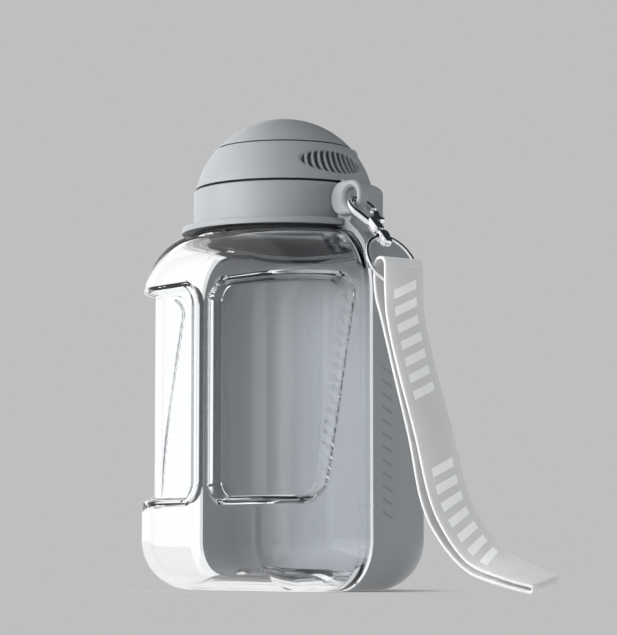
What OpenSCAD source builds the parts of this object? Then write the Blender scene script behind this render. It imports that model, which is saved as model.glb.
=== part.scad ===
// Travel water bottle for a dog. A clear tank stands in front, a drinking bowl clasps its back half,
// and a domed screw cap with a flip lid closes the neck. A wrist strap hangs from the bowl's ear on
// a swivel snap hook. Front is -Y, the bowl comes off towards +Y, and the ear is on the +X side.
// The origin is on the floor, on the axis of the neck.

/* [Tank] */
// Width across the two sides
body_w = 124; // [110:1:140]
// Depth from the neck's axis to the front face at its corners
front_d = 44; // [42:1:52]
// Depth from the neck's axis to the back of the bowl
back_d = 41; // [40:1:50]
// How far the front face bows out in the middle
front_crown = 2.5; // [0:0.5:4]
// Radius of the four upright corners
corner_r = 24; // [23:1:28]
// Radius of the edge round the base
base_edge_r = 22; // [14:1:22]
// Height of the flat top of the shoulder
shoulder_z = 156; // [150:1:160]
// Height over which the sides round in to that top
shoulder_h = 28; // [20:1:34]
// Radius of the flat top of the shoulder
shoulder_r = 43; // [42:0.5:44]
// Wall thickness of the clear tank
tank_wall = 2.2; // [1.8:0.1:2.8]
// Outer radius of the neck
neck_r = 36.5; // [34:0.5:37]
// Wall thickness of the neck
neck_wall = 2.5; // [2:0.1:3]
// Height of the neck above the shoulder
neck_h = 18; // [16:0.5:20]

/* [Finger grips] */
// Depth of the two finger grips in the front corners
grip_depth = 5.5; // [3:0.5:7]
// Height of the lower ledge of the grips
grip_low_z = 38.5; // [34:0.5:46]
// Height of the upper ledge of the grips
grip_top_z = 133.5; // [120:0.5:136]
// Width of the upright rib between the two grips
grip_rib_w = 12; // [8:1:20]
// How far behind the front face the grips run at their top
grip_reach = 31; // [22:1:36]
// How much shorter that reach is at their bottom
grip_slant = 14; // [0:1:16]
// Radius of the corners of the grips
grip_corner_r = 8; // [5:0.5:10]

/* [Bowl] */
// Wall thickness of the bowl
bowl_wall = 2.4; // [1.8:0.1:3]
// Clearance between the bowl and what it clasps
bowl_gap = 0.4; // [0.3:0.05:0.6]
// Where the tank's front half ends, behind the neck's axis
parting_y = -0.6; // [-3:0.1:2]
// Wall thickness of the yoke round the collar
yoke_wall = 3.4; // [2.5:0.1:4.5]
// Rounding of the ear that holds the hook, which is half its height
ear_r = 7.4; // [6.5:0.1:9]
// How far inside the body's side the ear ends
ear_inset = 1.6; // [0:0.1:3]
// Length of the ear's straight part
ear_oval = 5.8; // [3:0.1:8]
// Radius of the hole in the ear
ear_hole_r = 4; // [3.5:0.1:4.6]
// Thickness of the ear, front to back
ear_t = 5; // [4.5:0.5:7]
// How far the ear's front face stands ahead of the bowl's rim
ear_ahead = 5.6; // [4:0.1:8]
// How far the collar's flange ends ahead of the rim on the ear's side
flange_short = 2.4; // [1:0.1:6]
// Chamfer at both ends of the hole
ear_chamfer = 1.4; // [0.6:0.1:2]
// Height of the hole's centre above the shoulder
ear_rise = 13; // [12:0.1:15]
// Thickness of the lip that runs from the ear down over the shoulder
lip_t = 2.8; // [2:0.1:4]

/* [Collar and cap] */
// Wall thickness of the collar
collar_wall = 3.5; // [2.5:0.1:4.5]
// Height of the collar
collar_h = 21; // [19:0.5:23]
// Height of the flange at the front of the collar
flange_h = 4.8; // [3:0.1:6]
// How far the flange stands out
flange_w = 5.2; // [3:0.1:6]
// Running gap between the collar and the pieces of the cap
cap_gap = 0.4; // [0.3:0.05:0.6]
// Height of the dark joint between collar and cap
cap_joint = 1.1; // [0.8:0.1:2]
// Height of the dome above the collar's joint
dome_h = 31.9; // [28:0.1:35]
// How far the dome stands back from the collar's outside
dome_step = 0.1; // [0:0.1:1]
// Wall thickness of the cap and lid
cap_wall = 2.3; // [1.8:0.1:3]
// How far below the top the joint of the flip lid lies
lid_drop = 14; // [12:0.5:16]
// Open width of that joint
lid_joint = 0.6; // [0.4:0.1:1]
// Length of each ridged thumb grip on the cap
thumb_l = 35; // [30:1:40]
// Height of each thumb grip
thumb_h = 11.4; // [8:0.1:13]
// Depth of each thumb grip
thumb_depth = 1.9; // [1:0.1:2.1]
// Number of ridges in each thumb grip
ridge_n = 10; // [6:1:12]
// Thickness of one ridge
ridge_t = 1.5; // [1:0.1:2]
// Length of the vent slot in the lid
slot_l = 7; // [4:0.5:10]
// Width of the vent slot
slot_w = 1.6; // [0.8:0.1:2]

/* [Inside the cap] */
// Thickness of the plug's skirt and plate
plug_wall = 2; // [1.6:0.1:2.6]
// How far the plug reaches down into the neck
plug_reach = 23; // [16:1:26]
// How far below the top of the dome the plate of the spout lies
plate_drop = 25; // [24:0.5:28]
// Thickness of the sealing ring on the neck
seal_t = 1.6; // [1.2:0.1:2]
// Outer radius of the drinking spout
spout_r = 9; // [7:0.5:11]
// Height of the spout above the plate
spout_h = 12; // [9:0.5:13]
// Wall thickness of the spout
spout_wall = 2.4; // [2:0.1:3]
// Thickness of the stopper that closes the spout
stopper_t = 3; // [2:0.1:3.2]
// How much the spout's radius shrinks towards its tip
spout_taper = 1; // [0:0.1:1.5]
// Radius of the vent valve's hole in the plate
vent_r = 2.5; // [2:0.1:3]

/* [Lid hinge] */
// Radius of the hinge's barrels
barrel_r = 3; // [2.6:0.1:3.4]
// Radius of the hinge pin
hinge_pin_r = 1.1; // [0.8:0.1:1.4]
// Length of the hinge pin
hinge_pin_l = 17; // [13:0.5:20]
// Width of the lid's own barrel
lid_barrel_w = 8; // [6:0.5:9]

/* [Snap hook] */
// Radius of the hook's round bar
hook_r = 1.5; // [1.2:0.1:1.7]
// Radius of the hook's bend, at the middle of the bar
bend_r = 5.9; // [5.2:0.1:6.5]
// Length from the ear's centre to the swivel's eye
hook_l = 27.2; // [26.5:0.1:32]
// Slope of the hook below the horizontal
hook_slope = 45; // [30:1:60]
// Radius of the hook's barrel
hook_barrel_r = 3; // [2.7:0.1:3.5]
// Thickness of the gate
gate_t = 2.2; // [1.8:0.1:2.4]
// Radius of the gate's pin
gate_pin_r = 0.7; // [0.6:0.05:0.9]
// Radius of the swivel's eye
eye_r = 3.2; // [3:0.1:4]
// Radius of the ball under the eye
ball_r = 2.8; // [2.4:0.1:3.6]
// Radius of the ring, at the middle of its wire
ring_r = 12.6; // [12.3:0.1:14]
// Radius of the ring's wire
wire_r = 0.9; // [0.7:0.05:1]
// Slope of the ring below the horizontal
ring_slope = 62; // [45:1:80]

/* [Strap] */
// Width of the strap
strap_w = 21.5; // [18:0.5:22.5]
// Thickness of one layer of the strap
strap_t = 1.4; // [1:0.1:1.8]
// How far the strap runs out sideways from the ring to its end on the floor
strap_run = 75; // [60:1:80]
// Half the distance between its layers where it folds over the ring
fold_r = 3.4; // [3.3:0.05:4]

/* [Hidden] */

// Rounding of the exact forms, points on each corner of an outline, and a small overlap
$fn = 64;
corner_steps = 8;
front_steps = 6;
base_steps = 6;
shoulder_steps = 8;
eps = 0.01;
far = 200;

grey = [0.56, 0.58, 0.6];
clear = [0.86, 0.91, 0.93, 0.4];
steel = [0.8, 0.81, 0.82];

// The bowl's skin and gap together are what the tank's back half is stepped in by
bowl_step = bowl_wall + bowl_gap;
rim_y = parting_y + bowl_gap / 2;
side_top_z = shoulder_z - shoulder_h;
neck_top_z = shoulder_z + neck_h;
bore_r = neck_r - neck_wall;

// Collar, cap and dome
collar_in_r = neck_r + cap_gap;
collar_r = collar_in_r + collar_wall;
collar_top_z = shoulder_z + collar_h;
band_z = collar_top_z + cap_joint;
dome_r = collar_r - dome_step;
dome_top_z = band_z + dome_h;
dome_c = dome_top_z - dome_r;
lid_z = dome_top_z - lid_drop;
dome_in_r = dome_r - cap_wall;
lid_bottom_z = lid_z + lid_joint / 2;
band_top_z = lid_z - lid_joint / 2;
plug_r = bore_r - cap_gap / 2;
seal_top_z = neck_top_z + seal_t;
plate_z = dome_top_z - plate_drop;
plate_r = sqrt(pow(dome_in_r, 2) - pow(plate_z + plug_wall - dome_c, 2)) - cap_gap / 2;
spout_top_z = plate_z + plug_wall + spout_h;
soft_gap = 0.2;
stopper_z = spout_top_z + soft_gap;
vent_y = -18;
slot_y = -18;
plate_lip = 0.5;

// Thumb grips: height of their middle, share of the oval that the ridges fill, and how far the
// ridges' tops lie below the dome's skin
thumb_z = (band_z + band_top_z) / 2 + 0.2;
ridge_span = 0.97;
ridge_sink = 0.5;

// Hinge of the lid, just outside the back of the dome
hinge_out = 2.5;
hinge_y = sqrt(pow(dome_r, 2) - pow(lid_z - dome_c, 2)) + hinge_out;
hinge_w = hinge_pin_l;
hinge_foot = 8;
side_gap = 0.3;

// Yoke and ear of the bowl
yoke_in_r = collar_r + bowl_gap;
yoke_r = yoke_in_r + yoke_wall;
ear_x = body_w / 2 - ear_inset - ear_r;
ear_root_x = ear_x - ear_oval;
ear_z = shoulder_z + ear_rise;
ear_front_y = rim_y - ear_ahead;
ear_back_y = ear_front_y + ear_t;
ear_mid_y = ear_front_y + ear_t / 2;
ear_edge = 1.2;
ear_foot = 4.5;

// The hook hangs in the ear's hole, and its bend bears on the hole's lower wall
land = ear_t / 2 - ear_chamfer;
bend_sag = bend_r - sqrt(pow(bend_r, 2) - pow(land, 2));
bend_top = ear_hole_r - hook_r - bend_sag - side_gap;
bend_c = bend_top + bend_r;
bend_start = 84;
barrel_l = 6.5;
barrel_end = hook_l - eye_r - side_gap;
barrel_start = barrel_end - barrel_l;
barrel_taper = 2.4;

// Pin, fork and spring of the gate
pin_gap = 0.1;
pin_s = barrel_start + 1.6;
pin_y = 1.2;
fork_gap = 0.15;
fork_l = 9.4;
gate_heel_r = 1.5;
nose_gap = 1.3;
coil_z = 0.1;
coil_wire = 0.5;
coil_r = 1.45;

// Swivel: its stem and head turn in the end of the barrel
stem_r = 1.2;
stem_head_r = 1.9;
stem_head_h = 1.3;
stem_z = 2.8;
swivel_gap = 0.08;
eye_bore_r = wire_r + pow(eye_r, 2) / (2 * ring_r) + swivel_gap;
ball_sink = 0.5;
ball_s = hook_l + eye_r - ball_sink;

// Middle of the strap between its two layers, from the fold on the ring to the fold on the floor,
// and half the distance between the layers there
ring_x = ear_x + hook_l * cos(hook_slope) + ring_r * cos(ring_slope);
ring_z = ear_z - hook_l * sin(hook_slope) - ring_r * sin(ring_slope);
seat_d = sqrt(pow(ring_r, 2) - pow(strap_w / 2, 2));
seat_x = ring_x + seat_d * cos(ring_slope);
seat_z = ring_z - seat_d * sin(ring_slope);
ring_end_x = ring_x + ring_r * cos(ring_slope);
fold_x = ring_end_x + wire_r + side_gap + strap_t / 2 - fold_r;
fold_z = seat_z + 3;
// Shares of that run, sideways and back, and of the fold's height
strap_shares = [
    [0, 0, 1],
    [0.005, 0, 0.919],
    [0.045, 0, 0.825],
    [0.134, 0, 0.677],
    [0.272, 0, 0.471],
    [0.373, 0, 0.295],
    [0.48, 0.014, 0.192],
    [0.645, 0.041, 0.1035],
    [0.836, 0.081, 0.059],
    [1, 0.135, 0.0295]];
strap_path = [for (p = strap_shares) [fold_x + strap_run * p[0], strap_run * p[1], fold_z * p[2]]];
strap_half_gap = [fold_r, 3.2, 1.7, 1.5, 2, 2.7, 2.6, 1.9, 1.5, 1.3];
// Direction of the strap's width, which banks and turns near the floor
strap_across = [
    [0, 1, 0],
    [0, 1, 0],
    [0, 1, 0],
    [0, 1, 0.02],
    [0, 1, 0.06],
    [0, 1, 0.14],
    [-0.02, 0.98, 0.22],
    [-0.08, 0.95, 0.3],
    [-0.22, 0.93, 0.26],
    [-0.33, 0.92, 0.2]];

// Points on an arc in the plane
function arc(cx, cy, r, from, to, steps) =
    [for (i = [0:steps]) let (a = from + (to - from) * i / steps) [cx + r * cos(a), cy + r * sin(a)]];

// Rounded rectangle with a bowed front, as one outline of points at height z
function outline(hx, front, back, r, crown, z) =
    let (cx = max(hx - r, 0.05), cf = max(front - r, 0.05), cb = max(back - r, 0.05))
    let (flat = concat(
        arc(cx, cb, r, 0, 90, corner_steps),
        arc(-cx, cb, r, 90, 180, corner_steps),
        arc(-cx, -cf, r, 180, 270, corner_steps),
        [for (i = [1:front_steps - 1]) [-cx + 2 * cx * i / front_steps, -cf - r]],
        arc(cx, -cf, r, 270, 360, corner_steps)))
    [for (p = flat)
        let (bow = crown * max(0, -p[1]) / (cf + r) * (1 - pow(p[0] / (cx + r), 2)))
        [p[0], p[1] - bow, z]];

// Outline at a share k of the way from the plain body, 0, to the round top of the shoulder, 1
function blended(inset, k, z) =
    let (r = corner_r - inset)
    let (top_r = shoulder_r - inset)
    outline(
        (body_w / 2 - inset) * (1 - k) + top_r * k,
        (front_d - inset) * (1 - k) + top_r * k,
        (back_d - inset) * (1 - k) + top_r * k,
        r * (1 - k) + top_r * k,
        front_crown * (1 - k), z);

// All outlines of the body's skin, moved inwards by inset
function body_rings(inset) = concat(
    [for (i = [0:base_steps])
        let (q = 90 * i / base_steps)
        let (move = base_edge_r - (base_edge_r - inset) * sin(q))
        outline(body_w / 2 - move, front_d - move, back_d - move, corner_r - move,
            front_crown * sin(q), base_edge_r - (base_edge_r - inset) * cos(q))],
    [for (i = [0:shoulder_steps])
        let (q = 90 * i / shoulder_steps)
        blended(inset, 1 - cos(q), side_top_z + (shoulder_z - side_top_z - inset) * sin(q))]);

// Closed solid through rings of points that all have the same count
module loft(rings) {
    n = len(rings[0]);
    last = len(rings) - 1;
    sides = [for (k = [0:last - 1], i = [0:n - 1])
        let (j = (i + 1) % n)
        each [[k * n + i, (k + 1) * n + i, (k + 1) * n + j], [k * n + i, (k + 1) * n + j, k * n + j]]];
    bottom = [for (i = [0:n - 1]) i];
    top = [for (i = [0:n - 1]) last * n + n - 1 - i];
    polyhedron([for (ring = rings) each ring], concat([bottom], sides, [top]));
}

module body_form(inset) {
    loft(body_rings(inset));
}

// Half space in front of or behind an upright plane
module ahead_of(y) {
    translate([-far / 2, y - far, -far / 2])
        cube([far, far, 2 * far]);
}

module behind(y) {
    translate([-far / 2, y, -far / 2])
        cube([far, far, 2 * far]);
}

// Space of the two finger grips: seen from the front they stop at the rib, seen from the side
// they stop at a slanted edge, and both outlines have round corners
module grip_front(grow) {
    r = grip_corner_r + grow;
    low = grip_low_z + grip_corner_r;
    high = grip_top_z - grip_corner_r;
    inner = grip_rib_w / 2 + grip_corner_r;
    rotate([90, 0, 0])
        linear_extrude(far / 2)
            hull()
                for (z = [low, high], x = [inner, body_w])
                    translate([x, z])
                        circle(r, $fn = 32);
}

module grip_side(grow) {
    r = grip_corner_r + grow;
    low = grip_low_z + grip_corner_r;
    high = grip_top_z - grip_corner_r;
    top_y = grip_reach - front_d - grip_corner_r;
    rotate([90, 0, 90])
        linear_extrude(far / 2)
            hull() {
                for (z = [low, high])
                    translate([-2 * front_d, z])
                        circle(r, $fn = 32);
                translate([top_y, high])
                    circle(r, $fn = 32);
                translate([top_y - grip_slant, low])
                    circle(r, $fn = 32);
            }
}

module finger_grips(inset, grow) {
    difference() {
        for (side = [0, 1])
            mirror([side, 0, 0])
                intersection() {
                    grip_front(grow);
                    grip_side(grow);
                }
        body_form(inset);
    }
}

module tank_cavity() {
    difference() {
        union() {
            intersection() {
                body_form(tank_wall);
                ahead_of(parting_y - tank_wall);
            }
            body_form(bowl_step + tank_wall);
            translate([0, 0, shoulder_z - 2 * (bowl_step + tank_wall)])
                cylinder(r = bore_r, h = far);
        }
        finger_grips(grip_depth + tank_wall, tank_wall);
    }
}

module tank() {
    color(clear)
        difference() {
            union() {
                intersection() {
                    body_form(0);
                    ahead_of(parting_y);
                }
                body_form(bowl_step);
                translate([0, 0, shoulder_z - bowl_step - 1])
                    cylinder(r = neck_r, h = neck_h + bowl_step + 1);
            }
            finger_grips(grip_depth, 0);
            tank_cavity();
        }
}

// Ear: a flat oval with chamfered edges, and the neck that joins it to the yoke and the shoulder
module ear_disc(x) {
    translate([x, ear_back_y, ear_z])
        rotate([90, 0, 0]) {
            cylinder(r1 = ear_r - ear_edge, r2 = ear_r, h = ear_edge);
            translate([0, 0, ear_edge])
                cylinder(r = ear_r, h = ear_t - 2 * ear_edge);
            translate([0, 0, ear_t - ear_edge])
                cylinder(r1 = ear_r, r2 = ear_r - ear_edge, h = ear_edge);
        }
}

module ear() {
    ear_disc(ear_x);
    ear_disc(ear_root_x);
    translate([ear_root_x, 0, ear_z])
        rotate([90, 0, 90])
            linear_extrude(ear_x - ear_root_x)
                polygon([
                    [ear_front_y, -ear_r + ear_edge],
                    [ear_front_y + ear_edge, -ear_r],
                    [ear_back_y - ear_edge, -ear_r],
                    [ear_back_y, -ear_r + ear_edge],
                    [ear_back_y, ear_r - ear_edge],
                    [ear_back_y - ear_edge, ear_r],
                    [ear_front_y + ear_edge, ear_r],
                    [ear_front_y, ear_r - ear_edge]]);
}

// Point of the shoulder's curve in the bowl's front plane, at an angle t up the curve, moved
// outwards by a distance
function shoulder_at(t, out) =
    let (k = 1 - cos(t))
    let (across = (body_w / 2 - shoulder_r) * sin(t), up = shoulder_h * cos(t))
    [body_w / 2 * (1 - k) + shoulder_r * k, side_top_z + shoulder_h * sin(t)]
        + out * [up, across] / norm([up, across]);

// Neck of the ear: it fills the corner to the yoke and runs out as a lip over the shoulder
module ear_neck() {
    front_y = rim_y - flange_short + bowl_gap;
    difference() {
        translate([0, rim_y + 1, 0])
            rotate([90, 0, 0])
                linear_extrude(rim_y + 1 - front_y)
                    polygon(concat(
                        [[ear_root_x - ear_edge, ear_z + ear_r - ear_edge],
                        [yoke_in_r - 1, ear_z + ear_r - ear_edge],
                        [yoke_in_r - 1, shoulder_z + flange_w / 2],
                        [shoulder_r + ear_edge, shoulder_z + ear_edge]],
                        [for (t = [80:-10:20]) shoulder_at(t, -bowl_wall / 2)],
                        [for (t = [20:5:70]) shoulder_at(t, lip_t * min(1, (t - 20) / 25))],
                        [[ear_root_x + ear_edge, shoulder_z + flange_w / 2],
                        [ear_root_x + ear_foot, ear_z - ear_r + ear_edge]]));
        intersection() {
            ahead_of(rim_y);
            body_form(-bowl_gap);
        }
    }
}

module ear_hole() {
    mouth_r = ear_hole_r + ear_chamfer;
    translate([ear_x, ear_back_y + eps, ear_z])
        rotate([90, 0, 0]) {
            cylinder(r = ear_hole_r, h = ear_t + 2 * eps);
            cylinder(r1 = mouth_r, r2 = ear_hole_r, h = ear_chamfer);
            translate([0, 0, ear_t + 2 * eps - ear_chamfer])
                cylinder(r1 = ear_hole_r, r2 = mouth_r, h = ear_chamfer);
        }
}

module bowl() {
    color(grey)
        difference() {
            union() {
                intersection() {
                    difference() {
                        body_form(0);
                        body_form(bowl_wall);
                    }
                    behind(rim_y);
                    translate([-far / 2, -far / 2, -eps])
                        cube([far, far, shoulder_z - bowl_gap]);
                }
                intersection() {
                    translate([0, 0, shoulder_z - bowl_wall])
                        cylinder(r = yoke_r, h = collar_h + bowl_wall + cap_joint);
                    behind(rim_y);
                }
                ear();
                ear_neck();
            }
            translate([0, 0, shoulder_z - bowl_step])
                cylinder(r = neck_r + bowl_gap, h = neck_h);
            translate([0, 0, shoulder_z - bowl_gap])
                cylinder(r = yoke_in_r, h = far);
            ear_hole();
        }
}

module collar() {
    color(grey)
        difference() {
            union() {
                translate([0, 0, shoulder_z])
                    cylinder(r = collar_r, h = collar_h - 0.6);
                translate([0, 0, collar_top_z - 0.6])
                    cylinder(r1 = collar_r, r2 = collar_r - 0.6, h = 0.6);
                intersection() {
                    translate([0, 0, shoulder_z])
                        cylinder(r = collar_r + flange_w, h = flange_h);
                    ahead_of(rim_y - 2 * bowl_gap);
                }
            }
            translate([0, 0, shoulder_z - 1])
                cylinder(r = collar_in_r, h = collar_h + 2);
            difference() {
                translate([0, rim_y - flange_short, shoulder_z - 1])
                    cube([far, far, flange_h + 2]);
                cylinder(r = collar_r, h = far);
            }
        }
}

module neck_seal() {
    color("white")
        translate([0, 0, neck_top_z])
            difference() {
                cylinder(r = neck_r - soft_gap, h = seal_t);
                translate([0, 0, -1])
                    cylinder(r = bore_r + soft_gap, h = seal_t + 2);
            }
}

// Plug that screws into the neck, with the flange that presses the seal and the plate of the spout
module cap_plug() {
    color(grey)
        difference() {
            union() {
                translate([0, 0, neck_top_z - plug_reach])
                    cylinder(r = plug_r, h = plug_reach + seal_t);
                translate([0, 0, seal_top_z])
                    cylinder(r = neck_r, h = band_z - seal_top_z);
                translate([0, 0, band_z])
                    cylinder(r = plate_r, h = plate_z + plug_wall - band_z);
            }
            translate([0, 0, neck_top_z - plug_reach - 1])
                cylinder(r = plug_r - plug_wall, h = plug_reach + 1 + plate_z - neck_top_z);
            translate([0, 0, plate_z - 1])
                cylinder(r = spout_r - spout_wall, h = plug_wall + 2);
            translate([0, vent_y, plate_z - 1])
                cylinder(r = vent_r, h = plug_wall + 2);
        }
}

// Solid between the dome's skin and a parallel skin, from one height to another
module dome_shell(outer, inner, z0, z1) {
    difference() {
        intersection() {
            translate([0, 0, dome_c])
                sphere(outer);
            translate([-far / 2, -far / 2, z0])
                cube([far, far, z1 - z0]);
        }
        translate([0, 0, dome_c])
            sphere(inner);
    }
}

// Long oval, seen from the side of the cap
module thumb_prism() {
    rotate([90, 0, 90])
        linear_extrude(far)
            polygon([for (i = [0:31])
                let (a = 360 * i / 32)
                [thumb_l / 2 * cos(a), thumb_z + thumb_h / 2 * sin(a)]]);
}

module thumb_grip() {
    pitch = ridge_span * 2 * asin(thumb_l / 2 / dome_r) / ridge_n;
    difference() {
        thumb_prism();
        translate([0, 0, dome_c])
            sphere(dome_r - thumb_depth);
        for (i = [0:ridge_n - 1])
            rotate([0, 0, (i - (ridge_n - 1) / 2) * pitch])
                intersection() {
                    translate([0, -ridge_t / 2, band_z - 1])
                        cube([far, ridge_t, band_top_z - band_z + 2]);
                    translate([0, 0, dome_c])
                        sphere(dome_r - ridge_sink);
                }
    }
}

module hinge_barrel(w) {
    translate([-w / 2, hinge_y, lid_z])
        rotate([0, 90, 0])
            cylinder(r = barrel_r, h = w);
}

module hinge_bore(r) {
    translate([-hinge_w, hinge_y, lid_z])
        rotate([0, 90, 0])
            cylinder(r = r, h = 2 * hinge_w);
}

module cap_band() {
    color(grey)
        difference() {
            union() {
                dome_shell(dome_r, dome_in_r, band_z, band_top_z);
                difference() {
                    translate([0, 0, band_z])
                        cylinder(r = dome_in_r - plate_lip, h = cap_wall);
                    translate([0, 0, band_z - 1])
                        cylinder(r = plate_r + cap_gap / 4, h = cap_wall + 2);
                }
                difference() {
                    union() {
                        hinge_barrel(hinge_w);
                        translate([-hinge_w / 2, hinge_y - barrel_r, lid_z - hinge_foot])
                            cube([hinge_w, 2 * barrel_r, hinge_foot]);
                    }
                    translate([0, 0, dome_c])
                        sphere(dome_in_r);
                }
            }
            for (side = [0, 1])
                mirror([side, 0, 0])
                    thumb_grip();
            hinge_bore(hinge_pin_r);
            translate([-lid_barrel_w / 2 - side_gap, hinge_y - barrel_r - 1, lid_z - barrel_r - side_gap])
                cube([lid_barrel_w + 2 * side_gap, 2 * barrel_r + 2, 2 * barrel_r + 2]);
            translate([-hinge_w, -far, band_top_z])
                cube([2 * hinge_w, far + hinge_y - barrel_r - side_gap, far]);
        }
}

// Valve that lets air in as the water leaves: a button, a stem through the plate and a soft beak
module vent_valve() {
    stem = vent_r - soft_gap / 2;
    stem_l = 2;
    beak_l = 3;
    color("white")
        translate([0, vent_y, plate_z]) {
            translate([0, 0, plug_wall])
                cylinder(r = vent_r + 1.5, h = 1);
            translate([0, 0, -stem_l])
                cylinder(r = stem, h = plug_wall + stem_l);
            translate([0, 0, -stem_l - beak_l])
                cylinder(r1 = 1, r2 = stem, h = beak_l);
        }
}

// Tapered drinking spout on a round foot
module spout() {
    foot_w = 3;
    foot_t = 1.4;
    color("white")
        difference() {
            union() {
                translate([0, 0, plate_z + plug_wall])
                    cylinder(r = spout_r + foot_w, h = foot_t);
                translate([0, 0, plate_z + plug_wall])
                    cylinder(r1 = spout_r, r2 = spout_r - spout_taper, h = spout_h);
            }
            translate([0, 0, plate_z])
                cylinder(r = spout_r - spout_wall, h = far);
        }
}

module flip_lid() {
    color(grey)
        difference() {
            union() {
                dome_shell(dome_r, dome_in_r, lid_bottom_z, dome_top_z + 1);
                difference() {
                    union() {
                        hinge_barrel(lid_barrel_w);
                        translate([-lid_barrel_w / 2, hinge_y - barrel_r - 1, lid_bottom_z])
                            cube([lid_barrel_w, barrel_r + 1, barrel_r - lid_joint / 2]);
                    }
                    translate([0, 0, dome_c])
                        sphere(dome_in_r);
                }
            }
            hinge_bore(hinge_pin_r + pin_gap);
            for (side = [-1, 1])
                translate([side * (lid_barrel_w / 2 + hinge_w) - hinge_w, hinge_y, lid_z])
                    rotate([0, 90, 0])
                        cylinder(r = barrel_r + side_gap, h = 2 * hinge_w);
            translate([-slot_l / 2, slot_y - slot_w / 2, lid_z])
                cube([slot_l, slot_w, far]);
        }
}

// Boss under the dome that carries the stopper
module stopper_seat() {
    seat_low_z = stopper_z + stopper_t;
    seat_r = spout_r - 1;
    seat_wall = 2;
    seat_floor = 1.2;
    color(grey)
        difference() {
            translate([0, 0, seat_low_z])
                cylinder(r = seat_r, h = dome_in_r);
            translate([0, 0, seat_low_z + seat_floor])
                cylinder(r = seat_r - seat_wall, h = dome_in_r);
            difference() {
                translate([0, 0, seat_low_z - 1])
                    cylinder(r = far / 2, h = far);
                translate([0, 0, dome_c])
                    sphere(dome_in_r - pin_gap / 2);
            }
        }
}

module stopper() {
    color("white")
        translate([0, 0, stopper_z])
            cylinder(r = spout_r, h = stopper_t);
}

module hinge_pin() {
    color(steel)
        translate([-hinge_pin_l / 2, hinge_y, lid_z])
            rotate([0, 90, 0])
                cylinder(r = hinge_pin_r, h = hinge_pin_l);
}

// Frame of the hook: its length runs along +X here, its bend lies in the XY plane
module hook_frame() {
    translate([ear_x, ear_mid_y, ear_z])
        rotate([0, hook_slope, 0])
            children();
}

// Round bar between two points of the hook's own plane
module bar(a, b, r) {
    d = b - a;
    translate([a[0], a[1], 0])
        rotate([0, 90, atan2(d[1], d[0])])
            cylinder(r = r, h = norm(d));
}

module hook_barrel() {
    rotate([0, 90, 0])
        rotate_extrude()
            polygon([
                [0, barrel_start - barrel_taper],
                [hook_r + pin_gap, barrel_start - barrel_taper],
                [hook_barrel_r, barrel_start],
                [hook_barrel_r, barrel_end - 1],
                [hook_barrel_r - 0.7, barrel_end],
                [0, barrel_end]]);
}

module hook_body() {
    limb_end = [barrel_start + 1.5, hook_r - hook_barrel_r + 0.3];
    reach = limb_end - [bend_c, 0];
    limb_turn = 360 + atan2(reach[1], reach[0]) - acos(bend_r / norm(reach));
    limb_dir = [-sin(limb_turn), cos(limb_turn)];
    limb_start = [bend_c + bend_r * cos(limb_turn), bend_r * sin(limb_turn)] - 0.4 * limb_dir;
    color(steel)
        hook_frame()
            difference() {
                union() {
                    translate([bend_c, 0, 0])
                        rotate([0, 0, bend_start])
                            rotate_extrude(angle = limb_turn - bend_start)
                                translate([bend_r, 0])
                                    circle(hook_r);
                    bar(limb_start, limb_end, hook_r + 0.08);
                    hook_barrel();
                }
                translate([pin_s + 2 - fork_l, -0.4, -gate_t / 2 - fork_gap])
                    cube([fork_l, far, gate_t + 2 * fork_gap]);
                translate([pin_s, pin_y, -far / 2])
                    cylinder(r = gate_pin_r, h = far);
                translate([barrel_end - stem_z - fork_gap, 0, 0])
                    rotate([0, 90, 0])
                        cylinder(r = stem_head_r + pin_gap, h = stem_head_h + 2 * fork_gap);
                translate([barrel_end - stem_z, 0, 0])
                    rotate([0, 90, 0])
                        cylinder(r = stem_r + swivel_gap, h = barrel_l);
            }
}

// Lever of the hook: nose, back, thumb lug, and the heel round its pin
module hook_gate() {
    nose_s = bend_c + bend_r * cos(bend_start) + nose_gap;
    color(steel)
        hook_frame()
            difference() {
                union() {
                    translate([0, 0, -gate_t / 2])
                        linear_extrude(gate_t)
                            polygon([
                                [nose_s, bend_r - 1.2],
                                [nose_s, bend_r + 1.1],
                                [nose_s + 4, bend_r + 0.2],
                                [nose_s + 4.8, bend_r + 1.9],
                                [nose_s + 6, bend_r + 1.5],
                                [nose_s + 6.1, bend_r - 0.9],
                                [pin_s + 0.6, pin_y + 1.3],
                                [pin_s - 0.9, pin_y - 1.1]]);
                    translate([pin_s, pin_y, -gate_t / 2])
                        cylinder(r = gate_heel_r, h = gate_t);
                }
                translate([pin_s, pin_y, -far / 2])
                    cylinder(r = gate_pin_r + pin_gap / 2, h = far);
                translate([pin_s, pin_y, coil_z - pin_gap / 2])
                    cylinder(r = coil_r + side_gap, h = gate_t);
            }
}

module gate_pin() {
    color(steel)
        hook_frame()
            translate([pin_s, pin_y, -hook_barrel_r])
                cylinder(r = gate_pin_r, h = 2 * hook_barrel_r);
}

// Two turns of a torsion spring on the gate's pin
module gate_spring() {
    color(steel)
        hook_frame()
            for (turn = [0, 1])
                translate([pin_s, pin_y, coil_z + turn * coil_wire])
                    difference() {
                        cylinder(r = coil_r, h = coil_wire);
                        translate([0, 0, -1])
                            cylinder(r = gate_pin_r + pin_gap, h = coil_wire + 2);
                    }
}

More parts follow.
